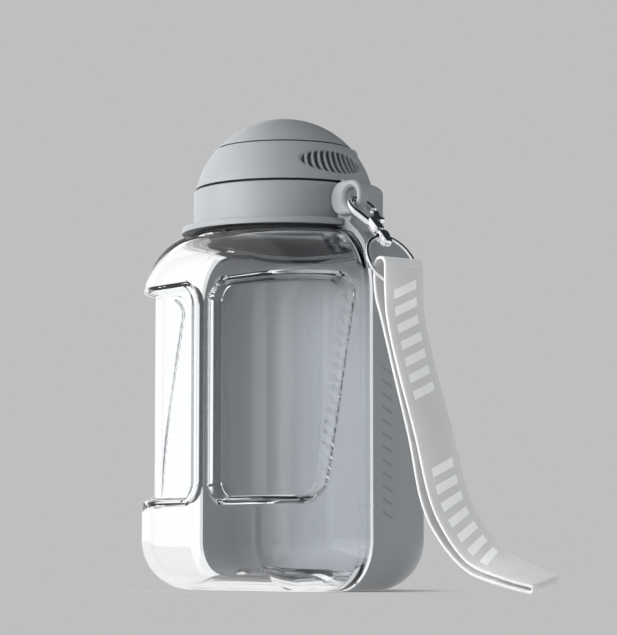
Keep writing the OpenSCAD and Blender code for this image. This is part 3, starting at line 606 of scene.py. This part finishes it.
ear_edge = round_corner(ear_radius - ear_round, ear_front + ear_round, ear_round, -90, 0, 6)
edge_stations = [(r, y, True) for r, y in ear_edge]
hole_stations = [(hole_radius, ear_front + hole_chamfer, False),
                 (hole_radius + bend_out, ear_front + hole_chamfer - bend_up, False),
                 (hole_radius + hole_chamfer, ear_front, False)]
front_stations = hole_stations + edge_stations
stations = front_stations + mirrored_stations(front_stations) + hole_stations[:1]
bowl.grid(np.stack([ear_loop(*station) for station in stations]), closed=True)


def shoulder_line(turns, out):
    """Points of the shoulder's curve at the rim, at angles up the curve, moved outwards by a distance."""
    t = np.radians(turns)
    rise, run = shoulder_height - side_top, half_width - shoulder_radius
    normal = np.stack([rise * np.cos(t), run * np.sin(t)], axis=-1)
    normal /= np.linalg.norm(normal, axis=-1, keepdims=True)
    curve = np.stack([half_width - run * (1 - np.cos(t)), side_top + rise * np.sin(t)], axis=-1)
    return curve + normal * np.reshape(out, (-1, 1))


# The lip lies over the clear shoulder's edge, swells on its way up and ends in the web that joins
# the yoke and the ear. It stands before the rim, and a second layer roots it in the bowl's wall.
web_half, web_low, web_corner = 6.2, 157.2, 44.0
web_by_yoke = [(ear_root - 1.2, ear_z + web_half), (yoke_inner, ear_z + web_half),
               (yoke_inner, web_low), (web_corner, web_low)]
web_by_ear = [(ear_root + 1.4, 159.0), (ear_root + 4.5, ear_z - web_half)]
lip_turns = np.linspace(lip_start, lip_end, 26)
lip_out = np.maximum(lip_thickness * np.minimum(1, (lip_turns - lip_start) / lip_swell), bowl_gap + 0.05)
over = shoulder_line(lip_turns, lip_out).tolist()
for front, back, depth in ((lip_front, rim, bowl_gap), (rim, rim + 1, -bowl_wall / 2)):
    under = shoulder_line(np.linspace(lip_root, lip_start, 30), depth).tolist()
    add_prism(bowl, web_by_yoke + under + over + web_by_ear, 1, front, back)
bowl.piece("bowl_shell", "bowl", "bowl_plastic", bowl_plastic, bevel=0.45, nodes=["bowl"])

# Collar: the grey ring pressed over the foot of the neck, with a flange over the clear shoulder
# that stops short of the ear. The collar's foot in the narrow gap under the flange is painted near
# black, as painted shade.
collar_inner, collar_outer, collar_top, collar_round = 36.9, 40.4, 177.0, 0.9
flange_root, flange_outer, flange_low, flange_top, flange_round = 39.9, 45.6, 157.6, 160.8, 1.1
flange_start, flange_end, shade_low, shade_rise = -179.4, -3.6, 150.0, 0.25
collar_columns, flange_columns = 144, 90
collar_plastic = moulded("collar_plastic", grey, 0.4)
add = adder(collar_plastic.node_tree)
flange_gap_shade = between(add, object_axes(add)["Z"], shade_low * 0.001, (flange_low + shade_rise) * 0.001, 0.0002)
recolour(collar_plastic, flange_gap_shade, 0.08, 0.00001)

collar = Surfaces()
collar_profile = ring_profile(collar_inner, collar_outer, shoulder_height, collar_top, collar_round)
collar_rows = arc_sweep(collar_profile, 0, 360, collar_columns + 1)[:-1]
collar.grid(collar_rows.transpose(1, 0, 2), closed=True)
collar.grid(np.stack([collar_rows[:, -1], collar_rows[:, 0]]), closed=True)
flange_profile = ring_profile(flange_root, flange_outer, flange_low, flange_top, flange_round)
add_arc(collar, flange_profile, flange_start, flange_end, flange_columns)
collar.piece("collar_ring", "tank", "grey_plastic", collar_plastic, bevel=0.35, nodes=["collar"])

# Plug: the inner piece of the cap, threaded on its skirt, with the flange that presses the
# sealing ring and the plate that carries the spout and the vent valve. Its near-black colour is
# painted shade for the dim inside of the neck.
plug_radius, plug_bore, plug_low = 33.8, 31.8, 156.0
seal_top, hub_low, hub_radius = 175.6, 178.1, 33.6
plate_low, plate_top, spout_bore = 185.0, 187.0, 6.6
thread_pitch, thread_depth, thread_low, thread_high = 4.0, 0.9, 158.0, 171.0
thread_crest, thread_flank, thread_fade = 0.4, 0.25, 1.5
vent_y, vent_radius, vent_columns, skirt_rows = -18.0, 2.5, 32, 124
painted_shade_plastic = moulded("painted_shade_plastic", (0.035, 0.04, 0.048), 0.42)


def turned(profile, columns=180):
    """Rows of points round the upright axis, one row for each pair of radius and height."""
    a = np.radians(np.linspace(0, 360, columns, endpoint=False))[None]
    r, z = (np.array(values)[:, None] for values in zip(*profile))
    return np.stack([r * np.cos(a), r * np.sin(a), z + 0 * a], axis=-1)


def threaded(rows):
    """Skirt with grooves cut in so that a right-handed thread of full radius stands between them.

    The crest lies where height over pitch less the turn is a whole number. It takes up thread_crest
    of the pitch and each flank half of thread_flank. The grooves run out at both ends.
    """
    x, y, z = rows[..., 0], rows[..., 1], rows[..., 2]
    phase = z / thread_pitch - np.arctan2(y, x) / (2 * math.pi)
    off = np.abs(phase - np.round(phase)) * 2
    groove = np.clip((off - thread_crest) / thread_flank, 0, 1)
    groove *= np.clip((z - thread_low) / thread_fade, 0, 1) * np.clip((thread_high - z) / thread_fade, 0, 1)
    cut = 1 - groove * thread_depth / plug_radius
    return np.stack([x * cut, y * cut, z], axis=-1)


def cut_out(made, cutter):
    """Takes a cutter's form out of a finished piece and removes the cutter.

    The cut runs after the piece's other modifiers, which are made final with it.
    """
    cut = made.modifiers.new("cut", "BOOLEAN")
    cut.operation, cut.object, cut.solver = "DIFFERENCE", cutter, "EXACT"
    bpy.context.view_layer.update()
    left = bpy.data.meshes.new_from_object(made.evaluated_get(bpy.context.evaluated_depsgraph_get()))
    made.modifiers.clear()
    made.data = left
    bpy.data.objects.remove(cutter)


def dress(material, *names):
    """Gives CAD nodes that are shown as they are a finish."""
    for name in names:
        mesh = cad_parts[name].data
        mesh.materials.clear()
        mesh.materials.append(material)


plug = Surfaces()
skirt = threaded(turned([(plug_radius, z) for z in np.linspace(plug_low, seal_top, skirt_rows)]))
crown = turned([(neck_radius, seal_top), (neck_radius, hub_low), (hub_radius, hub_low),
                (hub_radius, plate_top), (spout_bore, plate_top), (spout_bore, plate_low),
                (plug_bore, plate_low), (plug_bore, plug_low), (plug_radius, plug_low)])
plug.grid(np.concatenate([skirt, crown]), closed=True)
plug_piece = plug.piece("cap_plug_threaded", "cap", "grey_plastic", painted_shade_plastic, sharp=30,
                        nodes=["cap_plug"])
vent = Surfaces()
vent_outline = round_corner(0, vent_y, vent_radius, 0, 360 - 360 / vent_columns, vent_columns)
add_prism(vent, vent_outline, 2, plate_low - 2, plate_top + 2)
cut_out(plug_piece, vent.piece("vent_cutter", "cap", "grey_plastic", painted_shade_plastic))

silicone = moulded("silicone", (0.6, 0.61, 0.61), 0.5, grain=1500.0, relief=0.00001)
dress(silicone, "neck_seal", "vent_valve", "spout", "stopper")
dress(grey_plastic, "stopper_seat")

# Screw cap: a domed grey shell over the plug, with ten curved ridges in an oval hollow on each
# side for the thumb and finger, and two knuckles of the lid's hinge at its back.
dome_radius, dome_centre, cap_inner = 40.3, 169.7, 38.0
band_low, band_high, lid_low = 178.1, 195.7, 196.3
thumb_half_l, thumb_half_h, thumb_depth, thumb_flank, thumb_z = 17.5, 5.7, 1.9, 0.9, 187.1
ridge_count, ridge_half, ridge_flank, ridge_top, ridge_bend, ridge_spread = 10, 0.75, 0.7, 0.5, 0.05, 0.97
hinge_y, hinge_z, knuckle_radius, knuckle_chamfer = 33.035, 196.0, 3.0, 0.3
knuckle_spans = ((-8.5, -4.3), (4.3, 8.5))
cap_rows, cap_inner_rows, cap_columns, knuckle_columns = 62, 6, 900, 40


def sphere_angles(radius, low, high, rows, columns):
    """Angles up and round of a grid on a sphere about the dome's centre, at even steps of angle
    between two heights."""
    start, end = (math.asin((z - dome_centre) / radius) for z in (low, high))
    rise = np.linspace(start, end, rows)[:, None]
    turn = np.radians(np.linspace(0, 360, columns, endpoint=False))[None]
    return np.broadcast_arrays(rise, turn)


def on_sphere(radius, rise, turn):
    """Points of a sphere about the dome's centre from their angles up and round."""
    return np.stack([radius * np.cos(rise) * np.cos(turn), radius * np.cos(rise) * np.sin(turn),
                     dome_centre + radius * np.sin(rise)], axis=-1)


def thumb_relief(rise, turn):
    """Depth of the cap's skin below the sphere: an oval hollow on each side, less its ridges.

    The hollow falls over thumb_flank inside the oval. A ridge stands where the angle round the cap
    is near one of the even steps, moved on by the square of the height so that it bends.
    """
    skin = on_sphere(dome_radius, rise, turn)
    height = (skin[..., 2] - thumb_z) / thumb_half_h
    oval = 1 - np.hypot(skin[..., 1] / thumb_half_l, height)
    hollow = np.clip(oval * thumb_half_h / thumb_flank, 0, 1)
    hollow = hollow * hollow * (3 - 2 * hollow)
    side = np.arcsin(np.clip(skin[..., 1] / dome_radius / np.cos(rise), -1, 1))
    bent = side - ridge_bend * height ** 2
    pitch = ridge_spread * 2 * math.asin(thumb_half_l / dome_radius) / ridge_count
    step = bent / pitch + 0.5 * (ridge_count % 2 == 0)
    off = np.abs(step - np.round(step)) * pitch * dome_radius
    inside = np.abs(bent) < pitch * ridge_count / 2
    ridge = np.clip((ridge_half + ridge_flank / 2 - off) / ridge_flank, 0, 1) * inside
    ridge = ridge * ridge * (3 - 2 * ridge)
    return hollow * (thumb_depth - (thumb_depth - ridge_top) * ridge)


def add_barrel(surfaces, radius, low, high):
    """Adds one knuckle of the hinge: a short cylinder along X with chamfered ends."""
    a = np.radians(np.linspace(0, 360, knuckle_columns, endpoint=False))[None]
    face = radius - knuckle_chamfer
    stations = [(low, 0.0), (low, face), (low + knuckle_chamfer, radius),
                (high - knuckle_chamfer, radius), (high, face), (high, 0.0)]
    x, r = (np.array(values)[:, None] for values in zip(*stations))
    barrel = np.stack([x + 0 * a, hinge_y + r * np.cos(a), hinge_z + r * np.sin(a)], axis=-1)
    return surfaces.grid(barrel, closed=True)


# Painted shade darkens the grip's valleys: the closer to the dome's centre, the darker, up to a
# little below the skin.
thumb_plastic = moulded("thumb_plastic", grey, 0.4)
valley_margin = 0.4
valley_low, valley_high = dome_radius - thumb_depth, dome_radius - valley_margin
add = adder(thumb_plastic.node_tree)
from_centre = add("ShaderNodeVectorMath", {"operation": "DISTANCE"},
                  i0=add("ShaderNodeTexCoord").outputs["Object"], i1=(0, 0, dome_centre * 0.001))
valley_shade = ramp(add, from_centre.outputs["Value"], valley_low * 0.001, valley_high * 0.001, 1.0, 0.0,
              "SMOOTHSTEP")
recolour(thumb_plastic, valley_shade, 0.3, 0.00002)

cap = Surfaces()
rise, turn = sphere_angles(dome_radius, band_low, band_high, cap_rows, cap_columns)
outside = on_sphere(dome_radius - thumb_relief(rise, turn), rise, turn)
inside = on_sphere(cap_inner, *sphere_angles(cap_inner, band_low, band_high, cap_inner_rows, cap_columns))
cap.grid(np.concatenate([inside[:1], outside, inside[::-1]]), closed=True)

# Each outer knuckle stands on a block that grows out of the dome, and a low bridge joins the two.
block_root, block_back, bridge_half = 29.5, hinge_y + knuckle_radius, 4.5
block_foot = [(block_root, 190.5), (35.2, 189.4)]
block = block_foot + [(block_back, 193.2), (block_back, hinge_z), (block_root, hinge_z - 0.6)]
for low, high in knuckle_spans:
    add_barrel(cap, knuckle_radius, low, high)
    add_prism(cap, block, 0, low, high)
add_prism(cap, block_foot + [(34.4, 192.2), (30.6, 192.6)], 0, -bridge_half, bridge_half)
cap.piece("cap_shell", "cap", "grey_plastic", thumb_plastic, sharp=40, nodes=["cap_band"])

# Flip lid: the top of the dome, with its own knuckle at the back and a small slot near the front
# that lets air in while the dog drinks.
slot_length, slot_width, slot_y, slot_low, slot_high = 7.0, 1.6, -18.0, 198.0, 214.0
lid_knuckle_half, lid_rows, lid_inner_rows, lid_columns = 4.0, 30, 20, 180


def lid_skin(radius, rows):
    """Rows of half a dome from the lid's lower edge up to its apex, which closes in one point."""
    top, just_below = dome_centre + radius, 1e-4
    skin = on_sphere(radius, *sphere_angles(radius, lid_low, top - just_below, rows, lid_columns))
    return np.concatenate([skin[:-1], np.zeros_like(skin[:1]) + [0, 0, top]])


lid = Surfaces()
lid_outside, lid_inside = lid_skin(dome_radius, lid_rows), lid_skin(cap_inner, lid_inner_rows)
lid.grid(np.concatenate([lid_outside[::-1], lid_inside]), closed=True)
add_barrel(lid, knuckle_radius, -lid_knuckle_half, lid_knuckle_half)
leaf_top = hinge_z + knuckle_radius
leaf = [(29.2, lid_low), (hinge_y, lid_low), (hinge_y, leaf_top), (28.2, leaf_top)]
add_prism(lid, leaf, 0, -lid_knuckle_half, lid_knuckle_half)
lid_shell = lid.piece("lid_dome", "lid", "grey_plastic", grey_plastic, sharp=40, bevel=0.25,
                      nodes=["flip_lid"])

slot = Surfaces()
slot_round = slot_width / 2
slot_half = slot_length / 2 - slot_round
slot_outline = round_corner(slot_half, slot_y, slot_round, -90, 90, 9)
slot_outline += round_corner(-slot_half, slot_y, slot_round, 90, 270, 9)
add_prism(slot, slot_outline, 2, slot_low, slot_high)
cut_out(lid_shell, slot.piece("slot_cutter", "lid", "grey_plastic", grey_plastic))

# Snap hook, swivel and ring: polished chrome on cast zinc and on wire, with faint rub marks. The
# hinge pin of the lid, the gate's pin and its spring are bare bright steel.


def metal(name, colour, roughness, scratches):
    """Polished metal: fine scratches along one way, and a gloss that hands have dulled in places."""
    material = bpy.data.materials.new(name)
    add = empty_tree(material)
    place = add("ShaderNodeTexCoord").outputs["Object"]
    long_grain = add("ShaderNodeMapping", Vector=place, Scale=(900.0, 900.0, 90.0))
    grain = add("ShaderNodeTexNoise", Vector=long_grain.outputs[0], Scale=1.0, Detail=2.0)
    rubbed = add("ShaderNodeTexNoise", Vector=place, Scale=220.0, Detail=2.0)
    gloss = ramp(add, rubbed.outputs["Fac"], 0.35, 0.7, roughness, roughness + 0.06)
    bump = add("ShaderNodeBump", Height=grain.outputs["Fac"], Strength=scratches, Distance=0.00002)
    shader = add("ShaderNodeBsdfPrincipled", Base_Color=colour + (1,), Metallic=1.0,
                 Roughness=gloss, Normal=bump.outputs["Normal"])
    add("ShaderNodeOutputMaterial", Surface=shader.outputs[0])
    return material


chrome = metal("chrome", (0.86, 0.87, 0.88), 0.05, 0.12)
steel = metal("steel", (0.62, 0.62, 0.62), 0.22, 0.4)
dress(chrome, "hook_body", "hook_gate", "swivel_eye", "wire_ring")
dress(steel, "hinge_pin", "gate_pin", "gate_spring")

# Strap: one flat band of smooth coated weave, folded over the ring, down to a fold near the floor
# and up again. Its two layers lie close, bow apart in the middle, and bank and turn as they land.
strap_width, strap_thickness, strap_edge = 21.5, 1.3, 0.5
layer_rows, fold_rows, flat_columns = 260, 24, 23
strap_middle = np.array([
    (82.564, -3.5, 135.838), (82.939, -3.5, 124.835), (85.939, -3.5, 112.066), (92.614, -3.5, 91.962),
    (102.964, -3.5, 63.98), (110.539, -3.5, 40.072), (118.564, -2.45, 26.081), (130.939, -0.425, 14.059),
    (145.264, 2.575, 8.014), (157.564, 6.625, 4.007)])
strap_across = np.array([
    (0, 1, 0), (0, 1, 0), (0, 1, 0), (0, 1, 0.02), (0, 1, 0.06), (0, 1, 0.14),
    (-0.02, 0.98, 0.22), (-0.08, 0.95, 0.3), (-0.22, 0.93, 0.26), (-0.33, 0.92, 0.2)])
strap_apart = np.array([3.4, 3.2, 1.7, 1.5, 2, 2.7, 2.6, 1.9, 1.5, 1.3])[:, None]
strap_last = len(strap_middle) - 1


def flowing(values, at):
    """Smooth curve through a list of values, read at places counted in entries.

    Between two values b and c, with a before and d after them, it is the cubic that passes through
    both with the slopes (c - a) / 2 and (d - b) / 2.
    """
    i = np.clip(np.floor(at).astype(int), 0, len(values) - 2)
    t = (at - i)[:, None]
    a, b, c, d = (values[np.clip(i + k, 0, len(values) - 1)] for k in (-1, 0, 1, 2))
    return b + 0.5 * t * ((c - a) + t * ((2 * a - 5 * b + 4 * c - d) + t * (3 * b - 3 * c + d - a)))


def unit(v):
    """Vectors of length one."""
    return v / np.linalg.norm(v, axis=-1, keepdims=True)


def strap_frame(at):
    """Middle between the layers, way along, way across and way towards the bottle, at places along."""
    before, after = np.maximum(at - 0.05, 0), np.minimum(at + 0.05, strap_last)
    along = unit(flowing(strap_middle, after) - flowing(strap_middle, before))
    wide = flowing(strap_across, at)
    wide = unit(wide - along * (wide * along).sum(axis=-1, keepdims=True))
    return flowing(strap_middle, at), along, wide, np.cross(wide, along)


def strap_line():
    """Middle line of the band once round the loop: down its outer layer, round the lower fold, up
    the inner layer and round the fold on the ring. Gives places, outward and across directions."""
    down = np.linspace(0, strap_last, layer_rows)
    middle, along, wide, inward = strap_frame(down)
    turn = np.radians(np.linspace(0, 180, fold_rows + 2))[1:-1, None]
    low_out = -inward[-1] * np.cos(turn) + along[-1] * np.sin(turn)
    top_out = inward[0] * np.cos(turn) - along[0] * np.sin(turn)
    out = np.concatenate([-inward, low_out, inward[::-1], top_out])

    def looped(values):
        low, top = (np.repeat(values[end:end + 1], fold_rows, axis=0) for end in (layer_rows - 1, 0))
        return np.concatenate([values, low, values[::-1], top])

    return looped(middle) + out * looped(flowing(strap_apart, down)), out, looped(wide)


line, outward, across = strap_line()
step = np.linalg.norm(np.roll(line, -1, axis=0) - line, axis=-1)
travelled = np.concatenate([[0], np.cumsum(step)[:-1]])

# The band's cross-section: a flat strip with rounded edges, once round.
flat_half = strap_width / 2 - strap_edge
flat = np.linspace(-1, 1, flat_columns) * flat_half
edge_turn = np.radians(np.linspace(-72, 72, 5))
edge_across, edge_out = strap_edge * np.cos(edge_turn), strap_thickness / 2 * np.sin(edge_turn)
face_out = np.full(flat_columns, strap_thickness / 2)
profile_across = np.concatenate([flat, flat_half + edge_across[::-1], flat[::-1], -flat_half - edge_across])
profile_out = np.concatenate([face_out, edge_out[::-1], -face_out, edge_out])
points = line[:, None] + across[:, None] * profile_across[:, None] + outward[:, None] * profile_out[:, None]
rows, columns = points.shape[:2]
strap_mesh = bpy.data.meshes.new("strap_band")
strap_faces = quads(rows + 1, columns, closed=True) % (rows * columns)
strap_mesh.from_pydata((points.reshape(-1, 3) * 0.001).tolist(), [], strap_faces[:, ::-1].tolist())
strap_mesh.shade_smooth()
strap_mesh.set_sharp_from_angle(angle=math.radians(60))
place = np.zeros((rows, columns, 3))
place[..., 0], place[..., 1] = profile_across[None], travelled[:, None]
place[..., 2] = np.sign(profile_out)[None] * (np.arange(rows) < layer_rows + fold_rows // 2)[:, None]
band_place = strap_mesh.attributes.new("band_place", "FLOAT_VECTOR", "POINT")
band_place.data.foreach_set("vector", place.astype(np.float32).ravel())

# The cloth reads its place on the band in millimetres: X across, Y along, and Z 1 on the loop's
# outer face. There it bears groups of slanted bars.
weave_across, weave_along = 0.7, 0.55
group_pitch, group_shift, group_length, group_half = 79.0, 73.0, 52.5, 6.2
stripe_pitch, stripe_start, stripe_end, stripe_slant = 7.5, 0.24, 0.76, 0.42
strap_cloth = bpy.data.materials.new("strap_band")
add = empty_tree(strap_cloth)
band_attribute = add("ShaderNodeAttribute", {"attribute_name": "band_place"})
on_strap = add("ShaderNodeSeparateXYZ", Vector=band_attribute.outputs["Vector"]).outputs
object_place = add("ShaderNodeTexCoord").outputs["Object"]


def wave(axis, pitch):
    """Sine wave of a pitch along one axis of the band."""
    return compute(add, "SINE", compute(add, "MULTIPLY", on_strap[axis], 2 * math.pi / pitch))


weave = compute(add, "MULTIPLY", wave("X", weave_across), wave("Y", weave_along))
slanted = compute(add, "MULTIPLY_ADD", on_strap["X"], stripe_slant, on_strap["Y"])
group_at = compute(add, "MODULO", compute(add, "ADD", slanted, group_shift), group_pitch)
stripe_at = compute(add, "FRACT", compute(add, "DIVIDE", group_at, stripe_pitch))
motif = product(add,
                between(add, stripe_at, stripe_start, stripe_end, 0.02),
                between(add, on_strap["X"], -group_half, group_half, 0.15),
                between(add, group_at, 0.0, group_length, 0.1),
                between(add, on_strap["Z"], 0.5, 1.5, 0.1))
cloud = add("ShaderNodeTexNoise", Vector=object_place, Scale=60.0, Detail=3.0).outputs["Fac"]
plain = blend(add, cloud, (0.53, 0.53, 0.53, 1), (0.58, 0.58, 0.58, 1))
printed = blend(add, motif, plain, (0.80, 0.80, 0.80, 1))
gloss = ramp(add, cloud, 0.3, 0.7, 0.42, 0.52)
woven = add("ShaderNodeBump", Height=weave, Strength=0.25, Distance=0.00004)
raised = add("ShaderNodeBump", Height=motif, Strength=0.4, Distance=0.00008, Normal=woven.outputs["Normal"])
cloth = add("ShaderNodeBsdfPrincipled", Base_Color=printed, Roughness=gloss,
            Sheen_Weight=0.15, Subsurface_Weight=0.7, Subsurface_Radius=(1, 1, 1), Subsurface_Scale=0.004,
            Normal=raised.outputs["Normal"])
add("ShaderNodeOutputMaterial", Surface=cloth.outputs[0])

strap_mesh.materials.append(strap_cloth)
strap_piece = new_object("strap_band", strap_mesh)
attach(strap_piece, "strap")
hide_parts("strap")

# Stitching: a box of sewing with a cross in it, in polyester thread, that closes the strap's loop.
# It lies on the layer next to the bottle.
stitch_at, box_long, box_wide = 2.6, 9.0, 13.5
stitch_length, stitch_gap, stitch_radius = 1.7, 0.7, 0.24
strap_spacing = np.linalg.norm(strap_middle[3] - strap_middle[2])


def stitch_row(start, end):
    """Middles and directions of the stitches along one straight row of sewing, in the band's plane."""
    start, end = np.array(start, float), np.array(end, float)
    length = np.linalg.norm(end - start)
    count = max(2, round(length / (stitch_length + stitch_gap)))
    share = (np.arange(count) + 0.5) / count
    return start + (end - start) * share[:, None], np.broadcast_to((end - start) / length, (count, 2))


def stitch_shape(middle, way):
    """Rows of points of one stitch: a short round thread whose ends dip into the band."""
    along = np.linspace(-1, 1, 9)[:, None]
    turn = np.radians(np.linspace(0, 360, 8, endpoint=False))[None]
    radius = stitch_radius * np.sqrt(np.clip(1.02 - along ** 2, 0, 1))
    side = np.array([-way[1], way[0]])
    flat_place = middle + way * (along * stitch_length / 2)[..., None]
    flat_place = flat_place + side * (radius * np.cos(turn))[..., None]
    height = 0.12 - 0.2 * along ** 4 + radius * np.sin(turn)
    return flat_place, height


def on_band(flat_place, height):
    """Points over the layer next to the bottle, from places along and across it and a height."""
    shape = height.shape
    at = stitch_at + (flat_place[..., 0] / strap_spacing).ravel()
    middle, _, wide, inward = strap_frame(at)
    lift = flowing(strap_apart, at) + strap_thickness / 2 + height.reshape(-1, 1)
    return (middle + wide * flat_place[..., 1].reshape(-1, 1) + inward * lift).reshape(shape + (3,))


thread = moulded("thread", (0.80, 0.80, 0.79), 0.65, grain=2600.0, relief=0.00006)
sewing = Surfaces()
x, y = box_long / 2, box_wide / 2
a, b, c, d = (-x, -y), (x, -y), (x, y), (-x, y)
for start, end in ((a, b), (b, c), (c, d), (d, a), (a, c), (d, b)):
    for middle, way in zip(*stitch_row(start, end)):
        shape = on_band(*stitch_shape(middle, way))
        sewing.grid(shape, closed=True).flat_face(shape[0]).flat_face(shape[-1])
stitches = sewing.piece("strap_stitches", "strap", "thread", thread, nodes=["strap_stitch"])
